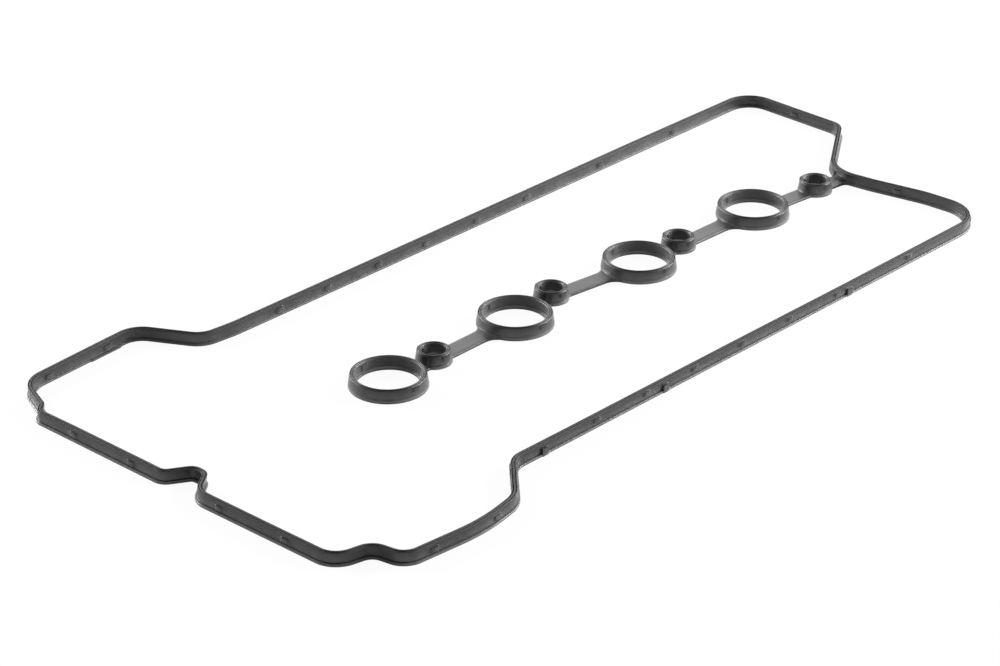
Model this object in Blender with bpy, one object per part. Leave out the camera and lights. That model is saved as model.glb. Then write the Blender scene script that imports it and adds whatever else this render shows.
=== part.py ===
"""Moulded rubber valve cover gasket for an in-line engine with four plug tubes.

One piece: a closed outer loop that follows the cover's edge, and inside it a row
of four plug tube rings and four small bolt rings. Flat straps tie the rings into
a row, and a tie joins the row to the loop's far end. Metres, +Z up. The origin is
on the floor under the loop's middle, and +X runs along the row of rings.
"""

import math

import bmesh
import bpy
from mathutils import Matrix, Vector

MM = 0.001

# Row of plug tube rings with a bolt ring beside each, as the limp row lies
BORE_PITCH = 88.0 * MM
ROW_X = 0.7 * MM
TUBE_Y = (2.6 * MM, 2.9 * MM, -0.2 * MM, -2.1 * MM)
TUBE_RING_RADIUS = 17.4 * MM
BOLT_RING_RADIUS = 7.3 * MM
BOLT_STEP = 32.0 * MM
LAST_BOLT_STEP = 46.0 * MM
BOLT_RISE = (1.4 * MM, 5.7 * MM, 1.2 * MM, -4.7 * MM)
FIRST_TUBE_X = ROW_X - BORE_PITCH * (len(TUBE_Y) - 1) / 2
LAST_TUBE_X = ROW_X + BORE_PITCH * (len(TUBE_Y) - 1) / 2

# Half widths of a wall at its foot, above the lip and at its shoulder
LOOP_SIDE = (2.0 * MM, 1.4 * MM, 1.3 * MM)
TUBE_INNER_SIDE = (2.1 * MM, 1.15 * MM, 1.05 * MM)
TUBE_OUTER_SIDE = (2.0 * MM, 1.5 * MM, 1.1 * MM)
BOLT_INNER_SIDE = (1.7 * MM, 1.15 * MM, 1.05 * MM)
BOLT_OUTER_SIDE = (2.0 * MM, 1.5 * MM, 0.9 * MM)

# Heights of the walls, and of the lip, shoulder and bead that they share
LOOP_HEIGHT = 6.5 * MM
TUBE_RING_HEIGHT = 6.9 * MM
BOLT_RING_HEIGHT = 7.0 * MM
LIP_HEIGHT = 1.05 * MM
LIP_SLOPE = 0.15 * MM
SHOULDER_HEIGHT = 0.65 * MM
SHOULDER_RUN = 0.45 * MM
BEAD_HEIGHT = 0.5 * MM
BEAD_FOOT = 0.5 * MM
BEAD_TOP = 0.35 * MM

# Outer loop: its long sides, and how far it reaches past the row's ends
HALF_WIDTH = 95.0 * MM
FRONT_REACH = 135.7 * MM
TIE_LENGTH = 17.5 * MM
REAR_STEP = 49.0 * MM
BAY_FAR_Y = 127.0 * MM
BAY_NEAR_Y = -124.1 * MM
FRONT_X = FIRST_TUBE_X - FRONT_REACH
REAR_STEP_X = LAST_TUBE_X + LAST_BOLT_STEP + TIE_LENGTH
REAR_X = REAR_STEP_X + REAR_STEP

# Bends of the loop as (x, y, radius), anticlockwise, each group from its own corner
NEAR_REAR_BEND = ((12.6 * MM, 0, 20 * MM),)
STEP_BENDS = ((10.2 * MM, -58.6 * MM, 60 * MM), (3.6 * MM, -28 * MM, 50 * MM), (0, -3.6 * MM, 22 * MM))
REAR_BEND = ((0, 29 * MM, 10 * MM),)
FAR_REAR_BEND = ((0, 0, 14.4 * MM),)
FAR_BAY_FOOT = ((121.8 * MM, -0.5 * MM, 60 * MM), (102.6 * MM, 1.2 * MM, 12.5 * MM))
FAR_BAY_CROWN = ((85.1 * MM, 0, 12.5 * MM), (13.7 * MM, -5.1 * MM, 16 * MM))
FAR_FRONT_BENDS = ((4.4 * MM, 4.0 * MM, 4.5 * MM), (-1.3 * MM, -0.4 * MM, 6 * MM))
NOTCH_FAR_BENDS = ((0, 10.1 * MM, 5.7 * MM), (12.4 * MM, 2.5 * MM, 4.3 * MM))
NOTCH_NEAR_BENDS = ((12.4 * MM, -4.2 * MM, 4.3 * MM), (-0.7 * MM, -13.6 * MM, 12 * MM))
NEAR_FRONT_BENDS = ((1.4 * MM, -3.7 * MM, 11.7 * MM), (20.7 * MM, -7.8 * MM, 8 * MM))
NEAR_BAY_CROWN = ((23.8 * MM, 4 * MM, 9.5 * MM), (68.3 * MM, 0, 100 * MM), (94.3 * MM, 4.8 * MM, 20 * MM))
NEAR_BAY_FOOT = ((117.8 * MM, -0.3 * MM, 12 * MM),)

# Straps between the rings, and the tie to the loop
STRAP_HALF_WIDTH = 5.1 * MM
STRAP_BOTTOM = 0.15 * MM
STRAP_TOP = 1.4 * MM
TUBE_FLARE = 8.0 * MM
BOLT_FLARE = 2.0 * MM
STRAP_AIM = 1.8 * MM
TIE_FLARE = 4.0 * MM
TIE_Y = -8.5 * MM
RAMP_LENGTH = 4.5 * MM
RAMP_BOTTOM = 0.6 * MM
RAMP_TOP = 4.0 * MM

# Retaining nubs, which stand proud of both faces of a wall
NUB_LENGTH = 4.3 * MM
NUB_PROUD = 0.7 * MM
RING_NUB_PROUD = 0.35 * MM
NUB_BOTTOM = 2.2 * MM
NUB_FULL_TOP = 4.4 * MM
NUB_TOP = 5.4 * MM
NUB_CORE = 0.8 * MM
NEAR_NUBS = (-155 * MM, -95 * MM, -60 * MM, -24 * MM, 12 * MM, 48 * MM, 84 * MM, 142 * MM)
FAR_NUBS = (-119 * MM, -83 * MM, -47 * MM, -13 * MM, 24 * MM, 62 * MM, 120 * MM, 180 * MM)
FRONT_NUBS = (-70 * MM, -29 * MM, 30 * MM, 69 * MM)
FAR_BAY_NUBS = (27 * MM, 66 * MM)
NEAR_BAY_NUBS = (39 * MM, 78 * MM)
REAR_STEP_NUBS = (-85 * MM, -45 * MM, -1 * MM)
REAR_NUBS = (60 * MM, 90 * MM)

# Locating tabs on the near side
TAB_WIDTH = 4.4 * MM
TAB_REACH = 2.7 * MM
TAB_TOP = 3.4 * MM
TABS = (-130 * MM, -46 * MM, 93.5 * MM)

# Facets
CHORD_ERROR = 0.09 * MM
TUBE_RING_SIDES = 32
BOLT_RING_SIDES = 20
STRAP_STEPS = 4

RUBBER_COLOUR = (0.055, 0.055, 0.057, 1.0)
RUBBER_ROUGHNESS = 0.55


def loop_corners():
    """Corners of the loop's centre line, anticlockwise from above, with bend radii."""
    groups = [
        (REAR_STEP_X, -HALF_WIDTH, NEAR_REAR_BEND),
        (REAR_STEP_X, 0, STEP_BENDS),
        (REAR_X, 0, REAR_BEND),
        (REAR_X, HALF_WIDTH, FAR_REAR_BEND),
        (FRONT_X, HALF_WIDTH, FAR_BAY_FOOT),
        (FRONT_X, BAY_FAR_Y, FAR_BAY_CROWN),
        (FRONT_X, HALF_WIDTH, FAR_FRONT_BENDS),
        (FRONT_X, 0, NOTCH_FAR_BENDS),
        (FRONT_X, 0, NOTCH_NEAR_BENDS),
        (FRONT_X, -HALF_WIDTH, NEAR_FRONT_BENDS),
        (FRONT_X, BAY_NEAR_Y, NEAR_BAY_CROWN),
        (FRONT_X, -HALF_WIDTH, NEAR_BAY_FOOT),
    ]
    return [(x + dx, y + dy, radius) for x, y, bends in groups for dx, dy, radius in bends]


def rounded_path(corners):
    """Closed line through the corners with an arc at each, as points with directions."""
    path = []
    for index, (x, y, radius) in enumerate(corners):
        corner = Vector((x, y))
        arrive = (corner - Vector(corners[index - 1][:2])).normalized()
        leave = (Vector(corners[(index + 1) % len(corners)][:2]) - corner).normalized()
        turn = math.atan2(arrive.cross(leave), arrive.dot(leave))
        start = corner - arrive * radius * math.tan(abs(turn) / 2)
        side = math.copysign(1, turn)
        centre = start + Vector((-arrive.y, arrive.x)) * radius * side
        steps = max(1, math.ceil(abs(turn) / (2 * math.acos(1 - CHORD_ERROR / radius))))
        for step in range(steps + 1):
            swing = Matrix.Rotation(turn * step / steps, 2)
            path.append((centre + swing @ (start - centre), swing @ arrive))
    return path


def wall_section(inner, outer, height):
    """Outline of a wall as (offset, height) points: lip, web, shoulders and top bead."""
    def side(widths):
        foot, low, high = widths
        shoulder = height - BEAD_HEIGHT
        return [
            (foot, 0.0),
            (foot, LIP_HEIGHT),
            (low, LIP_HEIGHT + LIP_SLOPE),
            (high, shoulder - SHOULDER_HEIGHT),
            (high - SHOULDER_RUN, shoulder),
            (BEAD_FOOT, shoulder),
            (BEAD_TOP, height),
        ]
    return side(outer) + [(-offset, z) for offset, z in reversed(side(inner))]


def closed_rows(rows):
    """Mesh through rows of points, closed round each row and from last row to first."""
    shape = bmesh.new()
    verts = [[shape.verts.new(point) for point in row] for row in rows]
    count = len(rows[0])
    for index, row in enumerate(verts):
        last = verts[index - 1]
        for k in range(count):
            n = (k + 1) % count
            shape.faces.new((last[k], last[n], row[n], row[k]))
    return shape


def capped_rows(rows):
    """Mesh through rows of points, closed round each row and capped at both ends."""
    shape = bmesh.new()
    verts = [[shape.verts.new(point) for point in row] for row in rows]
    count = len(rows[0])
    for last, row in zip(verts, verts[1:]):
        for k in range(count):
            n = (k + 1) % count
            shape.faces.new((last[k], last[n], row[n], row[k]))
    shape.faces.new(verts[0])
    shape.faces.new(verts[-1])
    return shape


def swept_wall(path, section):
    """Wall whose section follows a closed path; offsets point out of the loop."""
    rows = []
    for point, along in path:
        out = Vector((along.y, -along.x))
        rows.append([(*(point + out * offset), z) for offset, z in section])
    return closed_rows(rows)


def turned_wall(centre, radius, sides, section):
    """Ring wall of a middle radius, turned about an upright axis."""
    path = []
    for step in range(sides):
        angle = math.tau * step / sides
        out = Vector((math.cos(angle), math.sin(angle)))
        path.append((centre + out * radius, Vector((-out.y, out.x))))
    return swept_wall(path, section)


def plate(outline, bottom, top):
    """Flat plate over an outline."""
    return capped_rows([[(*point, z) for point in outline] for z in (bottom, top)])


def block(point, along, section, length):
    """Prism with a section across a wall, of a length along the wall."""
    out = Vector((along.y, -along.x))
    rows = []
    for shift in (-length / 2, length / 2):
        foot = point + along * shift
        rows.append([(*(foot + out * offset), z) for offset, z in section])
    return capped_rows(rows)


def nub(point, along, inner_low, outer_low, proud):
    """Pair of retaining nubs, joined through the wall that they stand on."""
    section = [
        (outer_low + proud, NUB_BOTTOM),
        (outer_low + proud, NUB_FULL_TOP),
        (NUB_CORE, NUB_TOP),
        (-NUB_CORE, NUB_TOP),
        (-inner_low - proud, NUB_FULL_TOP),
        (-inner_low - proud, NUB_BOTTOM),
    ]
    return block(point, along, section, NUB_LENGTH)


def tab(point, along):
    """Locating tab that stands out of the loop from its foot."""
    section = [(0, STRAP_BOTTOM), (TAB_REACH, STRAP_BOTTOM), (TAB_REACH, TAB_TOP), (0, TAB_TOP)]
    return block(point, along, section, TAB_WIDTH)


def nearest(path, x, y):
    """Point on a straight run or arc of the path that lies nearest a spot."""
    spot = Vector((x, y))
    best = None
    for index, (end, along) in enumerate(path):
        start = path[index - 1][0]
        run = end - start
        if run.length < CHORD_ERROR:
            continue
        share = min(1, max(0, (spot - start).dot(run) / run.length_squared))
        point = start + run * share
        gap = (spot - point).length
        if best is None or gap < best[0]:
            best = (gap, point, run.normalized())
    return best[1], best[2]


def reach(path, origin, direction):
    """Distance from a point inside the loop to its centre line, along a direction."""
    gaps = []
    for index, (end, along) in enumerate(path):
        start = path[index - 1][0]
        run = end - start
        facing = direction.cross(run)
        if abs(facing) < 1e-12:
            continue
        share = direction.cross(origin - start) / facing
        gap = run.cross(origin - start) / facing
        if 0 <= share <= 1 and gap > 0:
            gaps.append(gap)
    return min(gaps)


def ring_end(centre, radius, foot, flare):
    """Outline of a strap's end at a ring: a flare onto the ring's foot on each side.

    The strap's middle line is the +x axis. Between the flares the outline follows
    the middle of the ring's wall, so that no part of it reaches into the hole.
    """
    halves = []
    for side in (1, -1):
        rise = STRAP_HALF_WIDTH + flare - side * centre.y
        run = math.sqrt((radius + foot + flare) ** 2 - rise ** 2)
        lean = math.atan2(rise, run)
        half = []
        for step in range(STRAP_STEPS + 1):
            angle = -math.pi / 2 - (math.pi / 2 - lean) * step / STRAP_STEPS
            offset = Vector((run + flare * math.cos(angle), rise + flare * math.sin(angle)))
            half.append(centre + Vector((offset.x, side * offset.y)))
        for step in range(STRAP_STEPS):
            angle = lean * (1 - step / STRAP_STEPS)
            half.append(centre + radius * Vector((math.cos(angle), side * math.sin(angle))))
        halves.append(half)
    return halves[0] + [centre + Vector((radius, 0))] + halves[1][::-1]


def strap(start, start_ring, end, end_ring, aim):
    """Flat strap from one ring to the next, aimed beside the middle of the far ring.

    Each ring is the radius of its wall, the half width of its foot and the flare.
    """
    along = (end + Vector((0, aim)) - start).normalized()
    across = Vector((-along.y, along.x))
    aside = (start - end).dot(across)
    outline = [start + along * p.x + across * p.y for p in ring_end(Vector((0, 0)), *start_ring)]
    for p in ring_end(Vector((0, aside)), *end_ring):
        outline.append(end - along * p.x - across * (p.y - aside))
    return plate(outline, STRAP_BOTTOM, STRAP_TOP)


def tie(path, start, ring, target):
    """Strap from the last bolt ring to the loop, and the ramp that rises to the loop."""
    along = (target - start).normalized()
    across = Vector((-along.y, along.x))
    outline = [start + along * p.x + across * p.y for p in ring_end(Vector((0, 0)), *ring)]
    edge = STRAP_HALF_WIDTH + TIE_FLARE

    def at(y):
        return reach(path, start + across * y, along)

    for side in (-1, 1):
        wall = at(side * edge) - LOOP_SIDE[0]
        half = []
        for step in range(STRAP_STEPS + 1):
            angle = math.pi / 2 * step / STRAP_STEPS
            x = wall - TIE_FLARE * (1 - math.sin(angle))
            y = edge - TIE_FLARE * math.cos(angle)
            half.append(start + along * x + across * side * y)
        for step in range(STRAP_STEPS):
            y = side * edge * (1 - step / STRAP_STEPS)
            half.append(start + along * at(y) + across * y)
        outline += half if side < 0 else half[::-1]
    rows = []
    for step in range(STRAP_STEPS + 1):
        y = STRAP_HALF_WIDTH * (2 * step / STRAP_STEPS - 1)
        end = at(y)
        foot = end - LOOP_SIDE[1]
        profile = [
            (end, RAMP_BOTTOM),
            (foot - RAMP_LENGTH, RAMP_BOTTOM),
            (foot - RAMP_LENGTH, STRAP_TOP - STRAP_BOTTOM),
            (foot - RAMP_LENGTH / 3, STRAP_TOP + (RAMP_TOP - STRAP_TOP) / 3),
            (foot, RAMP_TOP),
            (end, RAMP_TOP),
        ]
        rows.append([(*(start + along * x + across * y), z) for x, z in profile])
    return plate(outline, STRAP_BOTTOM, STRAP_TOP), capped_rows(rows)


def nub_spots():
    """Places of the loop's nubs, near the part of the loop that carries each."""
    spots = [(x, -HALF_WIDTH) for x in NEAR_NUBS]
    spots += [(x, HALF_WIDTH) for x in FAR_NUBS]
    spots += [(FRONT_X, y) for y in FRONT_NUBS]
    spots += [(FRONT_X + x, BAY_FAR_Y) for x in FAR_BAY_NUBS]
    spots += [(FRONT_X + x, BAY_NEAR_Y) for x in NEAR_BAY_NUBS]
    spots += [(REAR_STEP_X, y) for y in REAR_STEP_NUBS]
    spots += [(REAR_X, y) for y in REAR_NUBS]
    return spots


def shell_object(name, shapes):
    """One object that holds several closed shapes, with their faces turned out."""
    mesh = bpy.data.meshes.new(name)
    whole = bmesh.new()
    for shape in shapes:
        bmesh.ops.recalc_face_normals(shape, faces=shape.faces)
        if shape.calc_volume(signed=True) < 0:
            bmesh.ops.reverse_faces(shape, faces=shape.faces)
        shape.to_mesh(mesh)
        whole.from_mesh(mesh)
        shape.free()
    whole.to_mesh(mesh)
    whole.free()
    thing = bpy.data.objects.new(name, mesh)
    bpy.context.collection.objects.link(thing)
    return thing


def unite(thing, extra, solver):
    """Boolean union of an object with another, which is then removed."""
    join = thing.modifiers.new("Union", "BOOLEAN")
    join.operation = "UNION"
    join.solver = solver
    join.object = extra
    bpy.context.view_layer.objects.active = thing
    bpy.ops.object.modifier_apply(modifier=join.name)
    bpy.data.objects.remove(extra, do_unlink=True)


def middle_of(thing):
    """Middle of an object's outline seen from above."""
    low = Vector(min(vert.co[axis] for vert in thing.data.vertices) for axis in range(2))
    high = Vector(max(vert.co[axis] for vert in thing.data.vertices) for axis in range(2))
    return ((low + high) / 2).to_3d()


def rubber():
    """Dull black rubber."""
    material = bpy.data.materials.new("black_rubber")
    material.use_nodes = True
    shader = material.node_tree.nodes["Principled BSDF"]
    shader.inputs["Base Color"].default_value = RUBBER_COLOUR
    shader.inputs["Roughness"].default_value = RUBBER_ROUGHNESS
    shader.inputs["Metallic"].default_value = 0.0
    return material


def build_gasket():
    """The whole gasket as one closed body."""
    path = rounded_path(loop_corners())
    tubes = [Vector((FIRST_TUBE_X + BORE_PITCH * k, y)) for k, y in enumerate(TUBE_Y)]
    steps = [BOLT_STEP] * (len(tubes) - 1) + [LAST_BOLT_STEP]
    bolts = [tube + Vector(shift) for tube, shift in zip(tubes, zip(steps, BOLT_RISE))]

    walls = [swept_wall(path, wall_section(LOOP_SIDE, LOOP_SIDE, LOOP_HEIGHT))]
    tube_section = wall_section(TUBE_INNER_SIDE, TUBE_OUTER_SIDE, TUBE_RING_HEIGHT)
    bolt_section = wall_section(BOLT_INNER_SIDE, BOLT_OUTER_SIDE, BOLT_RING_HEIGHT)
    for tube in tubes:
        walls.append(turned_wall(tube, TUBE_RING_RADIUS, TUBE_RING_SIDES, tube_section))
    for bolt in bolts:
        walls.append(turned_wall(bolt, BOLT_RING_RADIUS, BOLT_RING_SIDES, bolt_section))

    tube_near = (TUBE_RING_RADIUS, TUBE_OUTER_SIDE[0], BOLT_FLARE)
    tube_far = (TUBE_RING_RADIUS, TUBE_OUTER_SIDE[0], TUBE_FLARE)
    bolt_ring = (BOLT_RING_RADIUS, BOLT_OUTER_SIDE[0], BOLT_FLARE)
    straps = [strap(tubes[-1], tube_far, bolts[-1], bolt_ring, 0)]
    for k in range(len(tubes) - 1):
        straps.append(strap(tubes[k], tube_near, bolts[k], bolt_ring, 0))
        straps.append(strap(bolts[k], bolt_ring, tubes[k + 1], tube_far, STRAP_AIM))
    target, _ = nearest(path, REAR_STEP_X, TIE_Y)
    tie_plate, ramp = tie(path, bolts[-1], bolt_ring, target)
    straps.append(tie_plate)

    studs = [ramp]
    for x, y in nub_spots():
        point, along = nearest(path, x, y)
        studs.append(nub(point, along, LOOP_SIDE[1], LOOP_SIDE[1], NUB_PROUD))
    for x in TABS:
        studs.append(tab(*nearest(path, x, -HALF_WIDTH)))
    for side in (-1, 1):
        across = Vector((0, side))
        along = Vector((-across.y, across.x))
        for tube in tubes:
            spot = tube + across * TUBE_RING_RADIUS
            low = (TUBE_INNER_SIDE[1], TUBE_OUTER_SIDE[1])
            studs.append(nub(spot, along, *low, RING_NUB_PROUD))
        for bolt in bolts:
            spot = bolt + across * BOLT_RING_RADIUS
            low = (BOLT_INNER_SIDE[1], BOLT_OUTER_SIDE[1])
            studs.append(nub(spot, along, *low, RING_NUB_PROUD))

    gasket = shell_object("gasket", walls)
    unite(gasket, shell_object("straps", straps), "EXACT")
    unite(gasket, shell_object("studs", studs), "MANIFOLD")
    gasket.data.transform(Matrix.Translation(-middle_of(gasket)))
    gasket.data.shade_smooth()
    gasket.data.set_sharp_from_angle(angle=math.radians(35))
    gasket.data.materials.clear()
    gasket.data.materials.append(rubber())
    return gasket


def main():
    for thing in list(bpy.data.objects):
        bpy.data.objects.remove(thing, do_unlink=True)
    build_gasket()


main()
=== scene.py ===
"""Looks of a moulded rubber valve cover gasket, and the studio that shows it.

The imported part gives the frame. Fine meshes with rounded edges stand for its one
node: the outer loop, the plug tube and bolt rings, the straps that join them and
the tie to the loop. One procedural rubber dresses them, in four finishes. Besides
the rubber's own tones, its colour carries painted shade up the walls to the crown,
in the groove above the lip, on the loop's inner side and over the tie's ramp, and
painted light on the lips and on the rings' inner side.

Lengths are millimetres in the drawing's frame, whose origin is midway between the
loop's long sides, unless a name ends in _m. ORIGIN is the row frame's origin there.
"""

import logging
import math
from dataclasses import dataclass, field
from enum import Enum
from typing import Any

import bpy
import numpy as np
from numpy.typing import NDArray
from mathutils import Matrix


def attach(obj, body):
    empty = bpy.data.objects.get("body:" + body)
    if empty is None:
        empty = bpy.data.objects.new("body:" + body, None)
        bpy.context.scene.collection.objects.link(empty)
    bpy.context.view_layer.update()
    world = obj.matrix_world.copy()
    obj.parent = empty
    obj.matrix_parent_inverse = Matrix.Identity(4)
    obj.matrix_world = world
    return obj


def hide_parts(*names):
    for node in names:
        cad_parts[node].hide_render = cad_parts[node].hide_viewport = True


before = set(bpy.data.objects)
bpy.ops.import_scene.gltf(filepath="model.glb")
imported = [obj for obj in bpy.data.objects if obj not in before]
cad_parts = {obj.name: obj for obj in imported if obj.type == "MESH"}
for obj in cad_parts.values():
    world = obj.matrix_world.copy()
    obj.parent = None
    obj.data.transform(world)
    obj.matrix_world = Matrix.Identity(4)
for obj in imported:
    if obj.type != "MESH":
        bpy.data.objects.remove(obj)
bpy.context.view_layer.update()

Array = NDArray[np.float64]
NODE = "gasket"
MM = 0.001
ORIGIN = (-11.4768, 1.5908)
INSIDE = "inside"
# Offset from a wall's middle past which a point counts as one side of it
SIDE_LIMIT = 0.3
# Points and stations closer than these are the same
SAME_POINT = 1e-3
SAME_STATION = 0.02
# Steps in which a line is searched for its nearest point and for the wall's place
NEAREST_STEP = 0.05
WALL_STEP = 0.1
# Where the stations across a feature's end lie, in shares of its softness
END_STATIONS = (-1.0, -0.4, 0.4, 1.0)
# Turn between faces, in degrees, past which an edge is shaded sharp
SHARP_ANGLE = 50.0
# Points round a plate's rim, and strips across its upper face
RIM_POINTS = 4
FACE_STRIPS = 6
WHITE = (1.0, 1.0, 1.0, 1.0)

log = logging.getLogger("gasket")


# Shapes


def corner_turns(points: Array) -> tuple[Array, Array, Array]:
    """Directions into and out of the corners of a closed outline, and the turns there.

    A turn is the angle whose sine and cosine are the cross product and the dot
    product of the two directions.

    Args:
        points: corners, shape (k, 2).

    Returns:
        Unit vectors in, unit vectors out, and turns in radians, above 0 to the left.
    """
    arrive = points - np.roll(points, 1, axis=0)
    arrive /= np.linalg.norm(arrive, axis=1, keepdims=True)
    leave = np.roll(arrive, -1, axis=0)
    cross = arrive[:, 0] * leave[:, 1] - arrive[:, 1] * leave[:, 0]
    return arrive, leave, np.arctan2(cross, (arrive * leave).sum(axis=1))


def split(counts: Array) -> tuple[Array, Array]:
    """For intervals cut into counts parts each: every part's interval, and its number in it."""
    owner = np.repeat(np.arange(len(counts)), counts)
    return owner, np.arange(len(owner)) - np.repeat(np.cumsum(counts) - counts, counts)


def rounded(points: Array, radii: Array, steps: int) -> Array:
    """Closed outline through corners, each replaced by an arc.

    At a corner with turn angle t the arc of radius r starts r * tan(t / 2) before it,
    and its centre lies r to the side that the outline turns to.

    Args:
        points: corners, shape (k, 2).
        radii: bend radius of each corner.
        steps: steps in each arc.

    Returns:
        Points of the outline, shape (n, 2).
    """
    arrive, _, turn = corner_turns(points)
    start = points - arrive * (radii * np.tan(np.abs(turn) / 2))[:, None]
    side = np.stack([-arrive[:, 1], arrive[:, 0]], axis=1) * np.sign(turn)[:, None]
    centre = start + side * radii[:, None]
    angle = turn[:, None] * np.linspace(0, 1, steps + 1)[None, :]
    spoke = (start - centre)[:, None, :]
    turned = [
        spoke[..., 0] * np.cos(angle) - spoke[..., 1] * np.sin(angle),
        spoke[..., 0] * np.sin(angle) + spoke[..., 1] * np.cos(angle),
    ]
    return (centre[:, None, :] + np.stack(turned, axis=2)).reshape(-1, 2)


def even_steps(outline: Array, spacing: float) -> Array:
    """A closed outline with points added so that none are further apart than spacing.

    The outline's own points are kept, and the others lie between them at even
    lengths along it.

    Args:
        outline: points, shape (n, 2).
        spacing: widest gap between neighbours.

    Returns:
        Points, shape (m, 2), without the closing one.
    """
    ring = np.vstack([outline, outline[:1]])
    gaps = np.linalg.norm(np.diff(ring, axis=0), axis=1)
    length = np.concatenate([[0.0], np.cumsum(gaps)])
    counts = np.maximum(1, np.ceil(gaps / spacing)).astype(int)
    owner, part = split(counts)
    at = length[owner] + gaps[owner] * part / counts[owner]
    at = at[np.concatenate([[True], np.diff(at) > SAME_POINT])]
    return np.stack([np.interp(at, length, ring[:, axis]) for axis in range(2)], axis=1)


def soft_step(distance: Array, softness: float) -> Array:
    """1 where distance is above softness, 0 below minus softness, smooth between."""
    share = np.clip((distance / softness + 1) / 2, 0, 1)
    return share * share * (3 - 2 * share)


@dataclass(frozen=True)
class Bend:
    """A corner of the loop's centre line, with its bend radius."""

    x: float
    y: float
    radius: float


@dataclass
class CentreLine:
    """A closed line of straight runs and arcs that can be read at any length along it.

    Each piece has its start, its heading in radians, its curvature, which is 1 / radius
    and above 0 to the left, and its length.
    """

    start: Array
    heading: Array
    curve: Array
    lengths: Array

    @classmethod
    def through(cls, bends: tuple[Bend, ...]) -> "CentreLine":
        """Line through bends: a straight run to each bend, and then its arc.

        Args:
            bends: corners in order, anticlockwise from above.

        Returns:
            The line, which starts at the first bend's arc.
        """
        corner = np.array([(bend.x, bend.y) for bend in bends])
        radius = np.array([bend.radius for bend in bends])
        arrive, leave, turn = corner_turns(corner)
        cut = radius * np.tan(np.abs(turn) / 2)
        arc_start = corner - arrive * cut[:, None]
        arc_end = corner + leave * cut[:, None]
        run = np.linalg.norm(np.roll(arc_start, -1, axis=0) - arc_end, axis=1)
        start = np.stack([arc_start, arc_end], axis=1).reshape(-1, 2)
        heading = np.stack(
            [np.arctan2(arrive[:, 1], arrive[:, 0]), np.arctan2(leave[:, 1], leave[:, 0])], axis=1
        )
        curve = np.stack([np.sign(turn) / radius, np.zeros_like(radius)], axis=1)
        lengths = np.stack([np.abs(turn) * radius, run], axis=1)
        return cls(start, heading.ravel(), curve.ravel(), lengths.ravel())

    @classmethod
    def circle(cls, x: float, y: float, radius: float) -> "CentreLine":
        """Circle about a centre, from its +x side, anticlockwise."""
        return cls(
            np.array([[x + radius, y]]),
            np.array([math.pi / 2]),
            np.array([1 / radius]),
            np.array([math.tau * radius]),
        )

    @property
    def total(self) -> float:
        """Whole length of the line."""
        return float(self.lengths.sum())

    def at(self, distance: Array) -> tuple[Array, Array]:
        """Points of the line and the directions out of it.

        On a piece that starts at p with heading a and curvature k, the point d along
        it lies the chord d * sin(k d / 2) / (k d / 2) from p, in the direction
        a + k d / 2.

        Args:
            distance: lengths along the line.

        Returns:
            Points and unit vectors to the right of travel, both of shape (n, 2).
        """
        ends = np.cumsum(self.lengths)
        distance = np.mod(distance, ends[-1])
        piece = np.minimum(np.searchsorted(ends, distance, side="right"), len(ends) - 1)
        along = distance - (ends - self.lengths)[piece]
        first = self.heading[piece]
        curve = self.curve[piece]
        last = first + curve * along
        middle = (first + last) / 2
        chord = along * np.sinc((last - first) / 2 / math.pi)
        step = chord[:, None] * np.stack([np.cos(middle), np.sin(middle)], axis=1)
        return self.start[piece] + step, np.stack([np.sin(last), -np.cos(last)], axis=1)

    def stations(self, run_step: float, turn_step: float) -> Array:
        """Lengths at which the line is cut, each piece into even parts.

        Args:
            run_step: length of the longest part.
            turn_step: widest turn in a part, in degrees.

        Returns:
            Lengths along the line, in order.
        """
        starts = np.cumsum(self.lengths) - self.lengths
        turns = np.degrees(np.abs(self.curve) * self.lengths)
        counts = np.maximum(np.ceil(self.lengths / run_step), np.ceil(turns / turn_step))
        counts = np.maximum(counts, 1).astype(int)
        owner, part = split(counts)
        return starts[owner] + self.lengths[owner] * part / counts[owner]

    def nearest(self, spots: list[tuple[float, float]]) -> Array:
        """Lengths along the line that lie nearest to places, read from a fine sampling.

        Args:
            spots: the places.

        Returns:
            A length for each.
        """
        fine = np.arange(0, self.total, NEAREST_STEP)
        points, _ = self.at(fine)
        gaps = np.linalg.norm(points[None, :, :] - np.array(spots, dtype=float)[:, None, :], axis=2)
        return fine[gaps.argmin(axis=1)]


def mesh_piece(
    name: str, verts: Array, faces: Array, caps: list[list[int]] | None = None
) -> bpy.types.Object:
    """A mesh object made of quads and end caps, placed in the row frame.

    Args:
        name: object and mesh name.
        verts: points in the drawing's frame, shape (n, 3).
        faces: quads, shape (m, 4).
        caps: further faces, each a list of vertex numbers.

    Returns:
        The object, linked to the scene and shaded smooth.
    """
    placed = (verts - np.array([*ORIGIN, 0.0])) * MM
    mesh = bpy.data.meshes.new(name)
    mesh.from_pydata(placed.tolist(), [], faces.tolist() + (caps or []))
    mesh.validate()
    mesh.shade_smooth()
    mesh.set_sharp_from_angle(angle=math.radians(SHARP_ANGLE))
    piece = bpy.data.objects.new(name, mesh)
    bpy.context.scene.collection.objects.link(piece)
    return piece


def grid_quads(rows: int, columns: int, wrap_rows: bool) -> Array:
    """Quads of a grid whose columns close round each row.

    The vertex at a row and column has the number row * columns + column.

    Args:
        rows: number of rows.
        columns: points in a row.
        wrap_rows: whether the last row joins the first.

    Returns:
        Vertex numbers, shape (m, 4).
    """
    last = rows if wrap_rows else rows - 1
    row, column = np.meshgrid(np.arange(last), np.arange(columns), indexing="ij")
    here = row * columns
    after = (row + 1) % rows * columns
    beside = (column + 1) % columns
    quads = [here + column, after + column, after + beside, here + beside]
    return np.stack([quad.ravel() for quad in quads], axis=1)


def end_caps(rows: int, columns: int) -> list[list[int]]:
    """Faces that close the first and the last row of a grid."""
    return [list(range(columns)), [(rows - 1) * columns + k for k in range(columns)][::-1]]


# Wall of the loop and of the rings


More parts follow.
